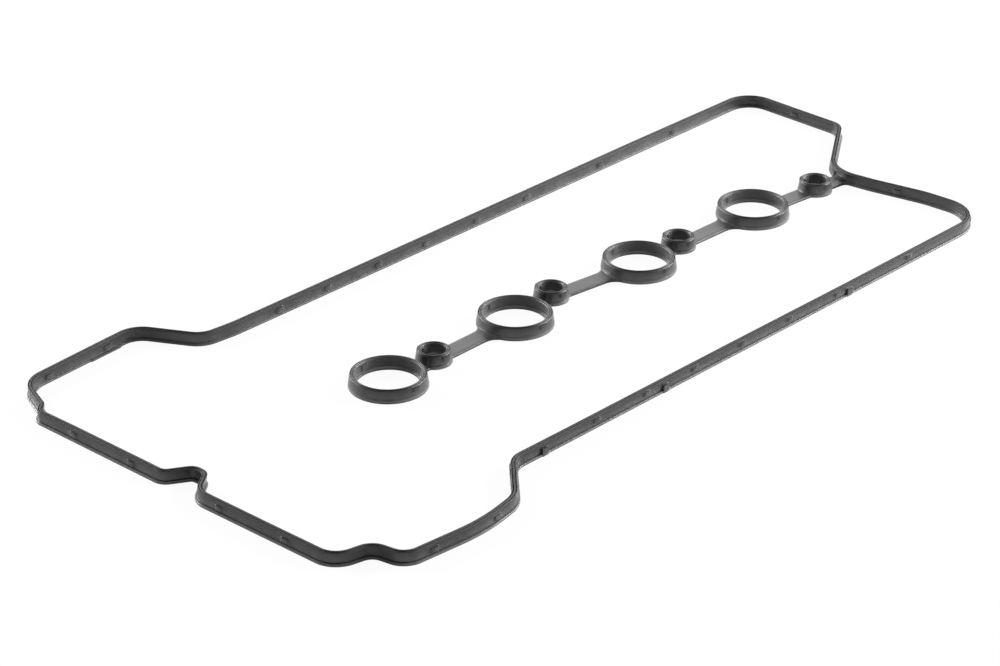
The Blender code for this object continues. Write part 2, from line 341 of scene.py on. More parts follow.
@dataclass(frozen=True)
class Side:
    """Half widths of one side of a wall: at its foot, above the lip and at the shoulder.

    rise is the height that the lip's top gains on its way in to the web, and groove
    is the depth of the groove above it.
    """

    foot: float
    low: float
    high: float
    rise: float = 0.12
    groove: float = 0.3


class Facing(Enum):
    """Which side of a wall a feature stands on."""

    OUTER = 1
    INNER = -1


@dataclass(frozen=True)
class Relief:
    """A feature that stands out of a wall's face over a short stretch.

    heights and reaches draw its outline in the wall's section: how far it reaches
    from the wall's middle at each height. softness is half the length over which
    each end falls off.
    """

    facing: Facing
    length: float
    heights: tuple[float, ...]
    reaches: tuple[float, ...]
    softness: float = 0.3

    def push(self, offset: Array, height: Array, gap: Array) -> Array:
        """How far the feature moves the wall's surface out.

        The reach at a height, less the wall's own offset, times a soft step that
        falls from 1 to 0 across the feature's end.

        Args:
            offset: distance of the section's points from the wall's middle, on this side.
            height: height of the section's points.
            gap: distance of each station from the nearest feature of the kind.

        Returns:
            Distances, shape (stations, section points), none below zero.
        """
        reach = np.interp(height, self.heights, self.reaches, left=0.0, right=0.0)
        proud = np.maximum(0.0, reach - offset)
        return soft_step(self.length / 2 - gap, self.softness)[:, None] * proud[None, :]

    def edges(self, places: Array) -> Array:
        """Extra stations that keep the feature's ends crisp.

        Args:
            places: lengths along the line where the feature stands.

        Returns:
            Lengths along the line, a few across each end.
        """
        rise = self.softness * np.array(END_STATIONS)
        shifts = np.concatenate([self.length / 2 + rise, -self.length / 2 + rise])
        return (places[:, None] + shifts[None, :]).ravel()


@dataclass(frozen=True)
class WallSection:
    """Section of a wall: a lip at its foot, a web, two rims and a bead between them.

    levels are extra heights at which the web has points, where they lie more than
    level_gap above its lower end. lower_radii are the bend radii of the corners from
    the floor to the web's lower end, and upper_radii those from its upper end on.
    """

    inner: Side
    outer: Side
    height: float
    lip_height: float = 1.05
    groove_width: float = 0.35
    groove_rise: float = 0.12
    bevel_drop: float = 0.3
    bevel_run: float = 0.12
    rim_width: float = 0.3
    channel_depth: float = 0.3
    channel_floor: float = 0.12
    bead_height: float = 0.35
    bead_foot: float = 0.42
    bead_top: float = 0.3
    levels: tuple[float, ...] = ()
    level_gap: float = 0.1
    lower_radii: tuple[float, ...] = (0.18, 0.16, 0.08, 0.06, 0.06)
    upper_radii: tuple[float, ...] = (0.12, 0.08, 0.06, 0.03, 0.03, 0.12)
    arc_steps: int = 2
    spacing: float = 0.42

    def half(self, side: Side) -> tuple[list[tuple[float, float]], list[float]]:
        """One side of the section, from the floor up to the bead.

        Args:
            side: the side's half widths.

        Returns:
            Corners as (distance from the middle, height), and their bend radii.
        """
        rim = self.height - self.bead_height
        web = self.lip_height + side.rise
        low, high = web + self.groove_width + self.groove_rise, rim - self.bevel_drop
        edge = side.high - self.bevel_run
        levels = [level for level in self.levels if level > low + self.level_gap]
        offsets = np.interp(levels, [low, high], [side.low, side.high]).tolist()
        corners = [
            (side.foot, 0.0),
            (side.foot, self.lip_height),
            (side.low - side.groove, web),
            (side.low - side.groove, web + self.groove_width),
            (side.low, low),
            *zip(offsets, levels),
            (side.high, high),
            (edge, rim),
            (edge - self.rim_width, rim),
            (self.bead_foot + self.channel_floor, rim - self.channel_depth),
            (self.bead_foot, rim - self.channel_depth),
            (self.bead_top, self.height),
        ]
        return corners, [*self.lower_radii, *[0.0] * len(levels), *self.upper_radii]

    def outline(self) -> Array:
        """The whole section, up its outer side and down its inner one.

        Returns:
            Closed outline as (offset, height) points; positive offsets lie outside.
        """
        outer, outer_radii = self.half(self.outer)
        inner, inner_radii = self.half(self.inner)
        corners = np.array(outer + [(-offset, height) for offset, height in reversed(inner)])
        bends = np.array(outer_radii + inner_radii[::-1])
        return even_steps(rounded(corners, bends, self.arc_steps), self.spacing)


@dataclass
class Wall:
    """A wall section carried round a closed line, with the features that stand on it.

    Each feature comes with the lengths along the line where it stands. Leans are
    (length, slope out of the line), and the slope is read between them.
    """

    name: str
    line: CentreLine
    section: WallSection
    reliefs: list[tuple[Relief, Array]] = field(default_factory=list)
    leans: tuple[tuple[float, float], ...] = ()
    run_step: float = 3.0
    turn_step: float = 6.0

    def stations(self) -> Array:
        """Lengths along the line where the section is placed.

        Returns:
            The line's own cuts and those at the features' ends, in order.
        """
        cuts = [self.line.stations(self.run_step, self.turn_step)]
        cuts += [relief.edges(places) for relief, places in self.reliefs]
        along = np.sort(np.mod(np.concatenate(cuts), self.line.total))
        return along[np.concatenate([[True], np.diff(along) > SAME_STATION])]

    def build(self) -> bpy.types.Object:
        """The wall's mesh.

        A point of the surface is the line's point at length s plus the direction out
        of the line times the section's offset, moved out by the features that stand
        there and by the lean times the height; its height is the section's. The
        attribute INSIDE is 1 on the inner side and 0 elsewhere.

        Returns:
            The wall as a closed mesh object.
        """
        along = self.stations()
        point, out = self.line.at(along)
        offset, height = self.section.outline().T
        reach = np.repeat(offset[None, :], len(along), axis=0)
        for relief, places in self.reliefs:
            gap = np.abs(along[:, None] - places[None, :])
            gap = np.minimum(gap, self.line.total - gap).min(axis=1)
            sign = relief.facing.value
            onside = (offset * sign > SIDE_LIMIT)[None, :]
            reach = reach + sign * onside * relief.push(offset * sign, height, gap)
        if self.leans:
            places, slopes = np.array(self.leans).T
            slope = np.interp(along, places, slopes, period=self.line.total)
            reach = reach + slope[:, None] * height[None, :]
        flat = point[:, None, :] + out[:, None, :] * reach[:, :, None]
        level = np.repeat(height[None, :], len(along), axis=0)
        verts = np.concatenate([flat, level[:, :, None]], axis=2).reshape(-1, 3)
        piece = mesh_piece(self.name, verts, grid_quads(len(along), len(offset), True))
        inside = piece.data.attributes.new(INSIDE, "FLOAT", "POINT")
        marks = (offset < -SIDE_LIMIT).astype(np.float32)
        inside.data.foreach_set("value", np.tile(marks, len(along)))
        return piece


# Straps between the rings


@dataclass(frozen=True)
class RingEnd:
    """What a strap meets at a ring: the ring's place and the foot that the flare touches."""

    centre: tuple[float, float]
    foot_radius: float
    flare: float


@dataclass
class Strap:
    """A flat strap between two rings, flared onto the foot of each.

    It runs towards a point that lies aim beside the second ring's centre, in y. sink
    is how far its ends reach under the rings' feet.
    """

    name: str
    start: RingEnd
    end: RingEnd
    aim: float = 0.0
    half_width: float = 5.1
    bottom: float = 0.15
    top: float = 1.4
    edge: float = 0.3
    sink: float = 0.6
    arc_steps: int = 14

    def flare(self, ring: RingEnd, aside: float, side: float) -> Array:
        """One edge of the strap at a ring, from inside the ring's foot outwards.

        In the strap's own frame the ring's centre is at (0, aside). The flare's centre
        lies at the strap's edge plus the flare, and as far along the strap as puts it
        one foot radius and one flare from the ring's centre.

        Args:
            ring: the ring.
            aside: how far the ring's centre lies beside the strap's middle line.
            side: 1 for the edge on the left of travel, -1 for the other.

        Returns:
            Points (along, across), with the first one under the ring's wall.
        """
        rise = self.half_width + ring.flare - side * aside
        run = math.sqrt((ring.foot_radius + ring.flare) ** 2 - rise**2)
        lean = math.atan2(rise, run)
        angle = np.linspace(-math.pi / 2, lean - math.pi, self.arc_steps)[::-1]
        arc = np.stack([run + ring.flare * np.cos(angle), rise + ring.flare * np.sin(angle)], axis=1)
        inside = (ring.foot_radius - self.sink) * np.array([[math.cos(lean), math.sin(lean)]])
        edge = np.vstack([inside, arc])
        return np.stack([edge[:, 0], side * edge[:, 1] + aside], axis=1)

    def edges(self) -> tuple[Array, Array]:
        """Edges of the strap, each a flare at either end with a straight run between.

        Returns:
            Left and right edges in the drawing's frame, with matching points.
        """
        start, end = np.array(self.start.centre), np.array(self.end.centre)
        along = end + [0.0, self.aim] - start
        along /= np.linalg.norm(along)
        across = np.array([-along[1], along[0]])
        aside = float((start - end) @ across)
        sides = []
        for side in (1.0, -1.0):
            near = self.flare(self.start, 0.0, side)
            far = self.flare(self.end, aside, -side)
            near = start + near[:, :1] * along + near[:, 1:] * across
            far = end - far[:, :1] * along - (far[:, 1:] - aside) * across
            sides.append(np.vstack([near, far[::-1]]))
        return sides[0], sides[1]

    def build(self) -> bpy.types.Object:
        """The strap's mesh."""
        return plate_between(self.name, *self.edges(), self.bottom, self.top, self.edge)


def plate_between(
    name: str, left: Array, right: Array, bottom: float, top: float, edge: float
) -> bpy.types.Object:
    """A flat plate between two edge lines, with rounded rims.

    A point is the middle of the two edges plus v times half their gap, where v runs
    from -1 to 1 across; near the rims v is cut back by an arc of the rim's radius.

    Args:
        name: object name.
        left: one edge, shape (n, 2).
        right: the other, with matching points.
        bottom: height of the underside.
        top: height of the upper face.
        edge: radius of the upper rims.

    Returns:
        The plate as a closed mesh object.
    """
    middle, half = (left + right) / 2, (left - right) / 2
    width = np.linalg.norm(half, axis=1)
    turn = np.linspace(0, math.pi / 2, RIM_POINTS)
    inset = edge * (1 - np.cos(turn))
    level = top - edge * (1 - np.sin(turn))
    across = np.linspace(1, -1, FACE_STRIPS + 1)[1:-1]
    cut = np.concatenate([[0.0], inset, np.full(len(across), edge), inset[::-1], [0.0]])
    rise = np.concatenate([[bottom], level, np.full(len(across), top), level[::-1], [bottom]])
    rim = np.ones(RIM_POINTS + 1)
    sign = np.concatenate([rim, across, -rim])
    share = sign[None, :] * (1 - cut[None, :] / width[:, None])
    flat = middle[:, None, :] + half[:, None, :] * share[:, :, None]
    verts = np.concatenate([flat, np.broadcast_to(rise[None, :, None], (*share.shape, 1))], axis=2)
    rows, columns = share.shape
    quads = grid_quads(rows, columns, False)
    return mesh_piece(name, verts.reshape(-1, 3), quads, end_caps(rows, columns))


@dataclass
class Tie:
    """The strap from the last bolt ring to the loop, with a ramp up the loop's wall.

    search is how far along and to each side the wall is looked for, and foot_share
    how much of the wall's foot the plate reaches under.
    """

    ring: RingEnd
    line: CentreLine
    target_x: float
    target_y: float
    wall_foot: float
    wall_low: float
    flare: float = 4.0
    flare_points: int = 12
    foot_share: float = 0.8
    ramp_length: float = 4.5
    ramp_top: float = 2.8
    ramp_bottom: float = 0.5
    ramp_sink: float = 0.12
    ramp_inset: float = 0.4
    ramp_grid: tuple[int, int] = (21, 12)
    search: tuple[float, float] = (60.0, 25.0)

    @property
    def strap(self) -> Strap:
        """The strap that gives the tie's section and its flare at the ring."""
        return Strap("tie", self.ring, self.ring)

    def axes(self) -> tuple[Array, Array, Array]:
        """The tie's own frame.

        Returns:
            Start of the tie, and the directions along and across it.
        """
        start = np.array(self.ring.centre)
        place = self.line.nearest([(self.target_x, self.target_y)])
        along = self.line.at(place)[0][0] - start
        along /= np.linalg.norm(along)
        return start, along, np.array([-along[1], along[0]])

    def wall_at(self, across: Array) -> Array:
        """Distance along the tie to the loop's middle line.

        Args:
            across: places across the tie.

        Returns:
            The distance at each place.
        """
        start, along, aside = self.axes()
        points, _ = self.line.at(np.arange(0, self.line.total, WALL_STEP))
        local = points - start
        run, side = local @ along, local @ aside
        near = (run > 0) & (run < self.search[0]) & (np.abs(side) < self.search[1])
        order = np.argsort(side[near])
        return np.interp(across, side[near][order], run[near][order])

    def plate(self) -> bpy.types.Object:
        """The tie's plate, whose far edges follow quarter arcs out to the wall's foot.

        Returns:
            A closed mesh object.
        """
        start, along, aside = self.axes()
        strap = self.strap
        outer = strap.half_width + self.flare
        angle = np.linspace(0, math.pi / 2, self.flare_points)
        edges = []
        for side in (1.0, -1.0):
            wall = self.wall_at(np.array([side * outer]))[0] - self.wall_foot
            run = wall - self.flare * (1 - np.sin(angle))
            across = side * (outer - self.flare * np.cos(angle))
            end = [[wall + self.wall_foot * self.foot_share, side * outer]]
            near = strap.flare(self.ring, 0.0, side)
            local = np.vstack([near, np.stack([run, across], axis=1), end])
            edges.append(start + local[:, :1] * along + local[:, 1:] * aside)
        return plate_between("tie", edges[0], edges[1], strap.bottom, strap.top, strap.edge)

    def ramp(self) -> bpy.types.Object:
        """The ramp from the plate up the wall.

        Its height grows as the cube of the way to the wall, times 1 - s ** 4, where s
        runs from -1 to 1 across it. Its back stands in the wall and its foot in the
        plate.

        Returns:
            A closed mesh object.
        """
        start, along, aside = self.axes()
        strap = self.strap
        side = np.linspace(-1, 1, self.ramp_grid[0])
        climb_shade = np.linspace(0, 1, self.ramp_grid[1])
        across = side * (strap.half_width - self.ramp_inset)
        wall = (self.wall_at(across) - self.wall_low)[:, None]
        back = wall + self.wall_low
        lift = (self.ramp_top - strap.top) * climb_shade[None, :] ** 3 * (1 - side[:, None] ** 4)
        run = wall - self.ramp_length * (1 - climb_shade[None, :])
        run = np.concatenate([run, back, back, run[:, :1]], axis=1)
        base = strap.top - self.ramp_sink
        foot = np.full((len(side), 2), self.ramp_bottom)
        level = np.concatenate([base + lift, base + lift[:, -1:], foot], axis=1)
        flat = start + run[:, :, None] * along + across[:, None, None] * aside
        verts = np.concatenate([flat, level[:, :, None]], axis=2).reshape(-1, 3)
        rows, columns = run.shape
        caps = [cap[::-1] for cap in end_caps(rows, columns)]
        return mesh_piece("tie_ramp", verts, grid_quads(rows, columns, False)[:, ::-1], caps)

    def build(self) -> list[bpy.types.Object]:
        """The tie's plate and its ramp."""
        return [self.plate(), self.ramp()]


# Finish


@dataclass
class Shader:
    """Adds nodes to the tree of one material or world."""

    tree: bpy.types.NodeTree

    def node(self, kind: str, settings: dict[str, Any] | None = None, **inputs: Any) -> bpy.types.Node:
        """Makes a node, sets it up and fills its sockets.

        Args:
            kind: the node's type name.
            settings: properties of the node, set first.
            inputs: socket values or sources, keyed by socket name with spaces as
                underscores, or by "i" and the socket's number.

        Returns:
            The node.
        """
        made = self.tree.nodes.new(kind)
        for name, value in (settings or {}).items():
            setattr(made, name, value)
        for name, value in inputs.items():
            numbered = name[0] == "i" and name[1:].isdigit()
            socket = made.inputs[int(name[1:])] if numbered else made.inputs[name.replace("_", " ")]
            if isinstance(value, Value):
                value = value.socket
            if isinstance(value, bpy.types.NodeSocket):
                self.tree.links.new(value, socket)
            else:
                socket.default_value = value
        return made

    def value(self, socket: bpy.types.NodeSocket) -> "Value":
        """A socket as a number that can be used in expressions."""
        return Value(self, socket)

    def noise(
        self, where: bpy.types.NodeSocket, scale: float, detail: float, roughness: float = 0.5
    ) -> "Value":
        """Noise between 0 and 1 at a scale in cells per metre."""
        made = self.node("ShaderNodeTexNoise", Vector=where, Scale=scale, Detail=detail, Roughness=roughness)
        return self.value(made.outputs[0])

    def mix_colours(self, share: "Value | float", first: Any, second: Any) -> bpy.types.NodeSocket:
        """Colour between two, by share."""
        made = self.node("ShaderNodeMix", {"data_type": "RGBA"}, i0=share, i6=first, i7=second)
        return made.outputs[2]

    @classmethod
    def of(cls, owner: bpy.types.Material | bpy.types.World) -> "Shader":
        """Shader for a material or a world, whose nodes are cleared first.

        Args:
            owner: the material or world.

        Returns:
            A shader on its node tree.
        """
        owner.use_nodes = True
        owner.node_tree.nodes.clear()
        return cls(owner.node_tree)


@dataclass
class Value:
    """A number in a shader; the usual operators add Math nodes."""

    shader: Shader
    socket: bpy.types.NodeSocket

    def join(self, operation: str, first: Any, second: Any) -> "Value":
        """Math node on two numbers."""
        made = self.shader.node("ShaderNodeMath", {"operation": operation}, i0=first, i1=second)
        return Value(self.shader, made.outputs[0])

    def __add__(self, other: Any) -> "Value":
        """self + other."""
        return self.join("ADD", self, other)

    def __radd__(self, other: Any) -> "Value":
        """other + self."""
        return self.join("ADD", other, self)

    def __sub__(self, other: Any) -> "Value":
        """self - other."""
        return self.join("SUBTRACT", self, other)

    def __rsub__(self, other: Any) -> "Value":
        """other - self."""
        return self.join("SUBTRACT", other, self)

    def __mul__(self, other: Any) -> "Value":
        """self * other."""
        return self.join("MULTIPLY", self, other)

    def __rmul__(self, other: Any) -> "Value":
        """other * self."""
        return self.join("MULTIPLY", other, self)

    def between(self, low: float, high: float) -> "Value":
        """0 at low, 1 at high, smooth between, and clamped outside.

        Args:
            low: number that gives 0.
            high: number that gives 1.

        Returns:
            The share between them.
        """
        smooth = {"interpolation_type": "SMOOTHSTEP"}
        made = self.shader.node("ShaderNodeMapRange", smooth, Value=self, From_Min=low, From_Max=high)
        return Value(self.shader, made.outputs[0])

    def above(self, level: float, edge: float) -> "Value":
        """0 below a level, 1 above it, and smooth where it is nearer than edge."""
        return self.between(level - edge, level + edge)


@dataclass(frozen=True)
class MouldedRubber:
    """Black moulded rubber: dull, faintly mottled, with a fine grain and a little bloom.

    Colours are linear, scales are in cells per metre, and shares run from 0 to 1.
    Besides the rubber's own tones the colour carries painted light and shade: shade is
    the colour of painted shade, and pale that of painted light. crown_shade_share is how far
    the colour goes to shade from the web's height up to the crown's, as painted shade on
    the upper wall. Up to lip_height_m, lip_light_share is how far it goes to pale, less
    lip_light_fade on a wall's inner side, as painted light on the lip. inside_shade and
    inside_light_share are how far that side goes to shade and to pale, as painted shade and
    painted light on the inner side. The groove above the lip goes to shade by
    crease_shade_share, less crease_shade_fade inside, as painted shade in that corner. An edge is the
    height within which one of these sets in.
    """

    name: str
    deep: tuple[float, float, float] = (0.036, 0.036, 0.037)
    worn: tuple[float, float, float] = (0.070, 0.070, 0.071)
    bloom: tuple[float, float, float] = (0.12, 0.12, 0.12)
    # shade is the colour of painted shade, and pale the colour of painted light
    shade: tuple[float, float, float] = (0.010, 0.010, 0.010)
    pale: tuple[float, float, float] = (0.15, 0.15, 0.15)
    web_height_m: float = 0.0020
    crown_height_m: float = 0.0058
    crown_edge_m: float = 0.0002
    crown_shade_share: float = 0.88
    crown_roughness: float = 0.30
    lip_height_m: float = 0.00135
    lip_edge_m: float = 0.0001
    lip_light_share: float = 0.0
    lip_light_fade: float = 0.0
    inside_light_share: float = 0.0
    inside_shade: float = 0.0
    crease_heights_m: tuple[float, float] = (0.00118, 0.00152)
    crease_edge_m: float = 0.00006
    crease_shade_share: float = 0.0
    crease_shade_fade: float = 0.0
    crease_roughness: float = 0.5
    roughness: float = 0.33
    roughness_spread: float = 0.16
    roughness_weights: tuple[float, float] = (0.6, 0.4)
    specular: float = 0.6
    mottle_scale: float = 55.0
    streak_scale: float = 210.0
    streak_stretch: tuple[float, float, float] = (1.0, 1.0, 1.0)
    wear_weights: tuple[float, float] = (0.55, 0.45)
    wear_span: tuple[float, float] = (0.36, 0.66)
    speck_scale: float = 1050.0
    speck_span: tuple[float, float] = (0.60, 0.80)
    patch_span: tuple[float, float] = (0.45, 0.65)
    dust_share: float = 0.5
    dust_roughness: float = 0.2
    grain_scale: float = 2600.0
    grain_depth_m: float = 0.000006
    ripple_scale: float = 420.0
    ripple_depth_m: float = 0.00003

    def material(self) -> bpy.types.Material:
        """The finish as a material.

        Mottle and streak noise set how far the colour goes from deep to worn. It then
        goes towards painted shade up the web, on a wall's inner side and in the groove
        above the lip, and towards painted light on the lip and on the inner side. Dust lies
        where the speck noise and the streak noise are both high. The grain and the ripple
        are bumps.

        Returns:
            The material.
        """
        made = bpy.data.materials.new(self.name)
        shader = Shader.of(made)
        where = shader.node("ShaderNodeTexCoord").outputs["Object"]
        height = shader.value(shader.node("ShaderNodeSeparateXYZ", Vector=where).outputs["Z"])
        mark = shader.node("ShaderNodeAttribute", {"attribute_name": INSIDE})
        inside = shader.value(mark.outputs["Fac"])
        times = {"operation": "MULTIPLY"}
        drawn = shader.node("ShaderNodeVectorMath", times, i0=where, i1=self.streak_stretch)
        mottle = shader.noise(where, self.mottle_scale, detail=3.0)
        streak = shader.noise(drawn.outputs[0], self.streak_scale, detail=4.0, roughness=0.6)
        speck = shader.noise(where, self.speck_scale, detail=3.0, roughness=0.7)
        grain = shader.noise(where, self.grain_scale, detail=2.0, roughness=0.6)
        ripple = shader.noise(where, self.ripple_scale, detail=2.0)
        wear = mottle * self.wear_weights[0] + streak * self.wear_weights[1]
        # Painted shade: the colour darkens up the web towards the crown
        climb_shade = height.between(self.web_height_m, self.crown_height_m)
        crown = height.above(self.crown_height_m, self.crown_edge_m)
        # Painted light: the lip's top is paler, standing in for the light it catches
        lip = 1.0 - height.above(self.lip_height_m, self.lip_edge_m)
        dust = speck.between(*self.speck_span) * streak.between(*self.patch_span) * self.dust_share
        # Painted shade: a dark band in the groove above the lip, fainter on the inner side
        low, high = self.crease_heights_m
        over = height.between(high - self.crease_edge_m, high)
        crease_shade = height.between(low - self.crease_edge_m, low) * (1.0 - over)
        crease_shade = crease_shade * (self.crease_shade_share - inside * self.crease_shade_fade)
        layers = [
            # Painted shade up the web
            (climb_shade * self.crown_shade_share, self.shade),
            # Painted shade on a wall's inner side
            (inside * self.inside_shade, self.shade),
            # Painted light on the lip, less on a wall's inner side
            (lip * (self.lip_light_share - inside * self.lip_light_fade), self.pale),
            # Painted light on the inner side
            (inside * self.inside_light_share, self.pale),
            (dust, self.bloom),
            # Painted shade in the groove above the lip
            (crease_shade, self.shade),
        ]
        base = shader.mix_colours(wear.between(*self.wear_span), (*self.deep, 1.0), (*self.worn, 1.0))
        for share, colour in layers:
            base = shader.mix_colours(share, base, (*colour, 1.0))
        streak_weight, grain_weight = self.roughness_weights
        # Each noise is a half on average, so uneven is 0 on average
        mean = (1.0 + streak_weight + grain_weight) / 2
        uneven = mottle + streak * streak_weight + grain * grain_weight - mean
        rough = self.roughness + uneven * self.roughness_spread + dust * self.dust_roughness
        rough = rough + crown * self.crown_roughness + crease_shade * self.crease_roughness
        fine = shader.node("ShaderNodeBump", Height=grain, Distance=self.grain_depth_m).outputs[0]
        bump = shader.node("ShaderNodeBump", Height=ripple, Distance=self.ripple_depth_m, Normal=fine)
        skin = shader.node(
            "ShaderNodeBsdfPrincipled",
            Base_Color=base,
            Roughness=rough,
            Specular_IOR_Level=self.specular,
            Normal=bump.outputs[0],
        )
        shader.node("ShaderNodeOutputMaterial", Surface=skin.outputs[0])
        return made


# The gasket


@dataclass(frozen=True)
class RingShape:
    """A ring's radius at the wall's middle, the sides of its wall, and its height."""

    radius: float
    inner: Side
    outer: Side
    height: float

    @property
    def foot(self) -> float:
        """Outer radius of the lip."""
        return self.radius + self.outer.foot


@dataclass
class Gasket:
    """The whole gasket: its sizes, as the drawing gives them, and its pieces.

    Nubs and tabs are given by their places along the side that carries them, and a
    ring's nubs by their share of the way round. A lean is (x, y, slope): how far the
    loop's wall leans out per millimetre of height there.
    """

    strap_finish: MouldedRubber = MouldedRubber(
        "strap_rubber",
        deep=(0.032, 0.032, 0.033),
        worn=(0.062, 0.062, 0.063),
        streak_scale=900.0,
        streak_stretch=(0.07, 1.0, 1.0),
    )
    # Painted light on the lip, painted shade on the inner side and in the groove above the lip
    wall_finish_painted_light_shade: MouldedRubber = MouldedRubber(
        "wall_rubber",
        crown_roughness=0.45,
        lip_light_share=0.55,
        lip_light_fade=0.3,
        inside_shade=0.2,
        crease_shade_share=1.0,
        crease_shade_fade=0.75,
    )
    # Darker colour: painted shade over the tie's ramp
    ramp_painted_shade_finish: MouldedRubber = MouldedRubber(
        "ramp_rubber", deep=(0.010, 0.010, 0.010), worn=(0.024, 0.024, 0.025), specular=0.3
    )
    # Painted light on the lip and on the inner wall, and painted shade up the web
    ring_finish_painted_light_shade: MouldedRubber = MouldedRubber(
        "ring_rubber_painted_light_shade",
        deep=(0.033, 0.033, 0.034),
        worn=(0.064, 0.064, 0.065),
        crown_roughness=0.12,
        lip_light_share=0.6,
        lip_height_m=0.0016,
        inside_light_share=0.36,
    )
    bore_pitch: float = 88.0
    row_x: float = 0.7
    tube_y: tuple[float, ...] = (2.6, 2.9, -0.2, -2.1)
    tube_shape: RingShape = RingShape(
        17.4, Side(2.1, 1.15, 1.05, 0.5, 0.03), Side(1.95, 1.65, 1.1, 1.3, 0.03), height=6.9
    )
    bolt_shape: RingShape = RingShape(
        7.3, Side(1.9, 1.15, 1.05, 0.5, 0.03), Side(1.9, 1.55, 1.0, 1.3, 0.03), height=7.0
    )
    bolt_step: float = 32.0
    last_bolt_step: float = 46.0
    bolt_rise: tuple[float, ...] = (1.4, 5.7, 1.2, -4.7)
    loop_inner: Side = Side(2.0, 1.2, 1.25, groove=0.12)
    loop_outer: Side = Side(2.0, 1.2, 1.25, groove=0.32)
    loop_height: float = 6.5
    half_width: float = 95.0
    front_reach: float = 135.7
    tie_length: float = 17.5
    rear_step: float = 49.0
    bay_far_y: float = 127.0
    bay_near_y: float = -124.1
    tube_flare: float = 8.0
    bolt_flare: float = 2.0
    strap_aim: float = 1.8
    tie_y: float = -8.5
    web_span: tuple[float, float] = (1.8, 6.0)
    nub_length: float = 4.2
    nub_ledge: float = 0.1
    nub_softness: float = 0.4
    ring_groove_width: float = 0.2
    ring_turn_step: float = 3.0
    near_nub_span: tuple[float, float] = (3.1, 5.0)
    outer_nub_span: tuple[float, float] = (2.3, 4.2)
    inner_nub_span: tuple[float, float] = (2.0, 4.2)
    ring_nub_spans: tuple[tuple[float, float], ...] = ((4.1, 5.8), (2.8, 5.4))
    nub_proud: float = 0.7
    ring_nub_proud: float = 0.8
    ring_nubs: tuple[float, float] = (0.25, 0.75)
    near_nubs: tuple[float, ...] = (-155, -94.5, -59.5, -25, 10.5, 46.7, 84, 142)
    far_nubs: tuple[float, ...] = (-116.6, -83.5, -48, -13.5, 24, 62, 120, 180)
    front_nubs: tuple[float, ...] = (-70, -29, 30, 69)
    far_bay_nubs: tuple[float, ...] = (27, 66)
    near_bay_nubs: tuple[float, ...] = (39, 78)
    step_nubs: tuple[float, ...] = (-85, -45, -1)
    rear_nubs: tuple[float, ...] = (60, 90)
    tabs: tuple[float, ...] = (-130, -46, 93.5)
    tab: Relief = Relief(
        Facing.OUTER, length=4.0, heights=(0.0, 3.9, 4.05), reaches=(2.3, 2.3, 0.0), softness=0.12
    )
    pad_x: float = -202.8
    pad: Relief = Relief(
        Facing.INNER, length=20.0, heights=(0.0, 1.0, 1.1), reaches=(2.5, 2.5, 0.0), softness=0.4
    )
    leans: tuple[tuple[float, float, float], ...] = (
        (-110, -95, 0.0),
        (0, -95, 0.02),
        (90, -95, 0.08),
        (190, -95, 0.03),
        (245, 60, 0.0),
        (150, 95, 0.14),
        (30, 95, 0.1),
        (-100, 95, 0.07),
        (-200, 127, 0.1),
        (-250, 127, 0.05),
        (-267, 70, -0.13),
        (-267, 20, -0.13),
        (-267, -60, -0.1),
        (-240, -110, -0.13),
        (-180, -124, -0.1),
    )

    @property
    def tubes(self) -> Array:
        """Centres of the plug tube rings.

        Returns:
            Points, shape (n, 2), one bore pitch apart in x.
        """
        count = len(self.tube_y)
        along = self.row_x + self.bore_pitch * (np.arange(count) - (count - 1) / 2)
        return np.stack([along, np.array(self.tube_y)], axis=1)

    @property
    def bolts(self) -> Array:
        """Centres of the bolt rings, one after each plug tube ring.

        Returns:
            Points, shape (n, 2).
        """
        step = np.full(len(self.tube_y), self.bolt_step)
        step[-1] = self.last_bolt_step
        return self.tubes + np.stack([step, np.array(self.bolt_rise)], axis=1)

    @property
    def front_x(self) -> float:
        """Front face of the loop."""
        return float(self.tubes[0, 0]) - self.front_reach

    @property
    def step_x(self) -> float:
        """Where the loop's rear side comes closest to the row."""
        return float(self.bolts[-1, 0]) + self.tie_length

    def loop_line(self) -> CentreLine:
        """Centre line of the loop.

        Each group holds the bends near one corner, as (dx, dy, radius) from that
        corner. They go anticlockwise, from the near long side's rear end.

        Returns:
            The line.
        """
        front, step, rear = self.front_x, self.step_x, self.step_x + self.rear_step
        wide, far, near = self.half_width, self.bay_far_y, self.bay_near_y
        groups = [
            (step, -wide, [(12.6, 0, 20)]),
            (step, 0, [(10.2, -58.6, 60), (3.6, -28, 50), (0, -3.6, 22)]),
            (rear, 0, [(0, 29, 10)]),
            (rear, wide, [(0, 0, 14.4)]),
            (front, wide, [(121.8, -0.5, 60), (102.6, 1.2, 12.5)]),
            (front, far, [(85.1, 0, 12.5), (13.7, -5.1, 16)]),
            (front, wide, [(4.4, 4.0, 4.5), (-1.3, -0.4, 6)]),
            (front, 0, [(0, 10.1, 5.7), (12.4, 2.5, 4.3), (12.4, -4.2, 4.3), (-0.7, -13.6, 12)]),
            (front, -wide, [(1.4, -3.7, 11.7), (20.7, -7.8, 8)]),
            (front, near, [(23.8, 4, 9.5), (68.3, 0, 100), (94.3, 4.8, 20)]),
            (front, -wide, [(117.8, -0.3, 12)]),
        ]
        bends = [Bend(x + dx, y + dy, radius) for x, y, group in groups for dx, dy, radius in group]
        return CentreLine.through(tuple(bends))

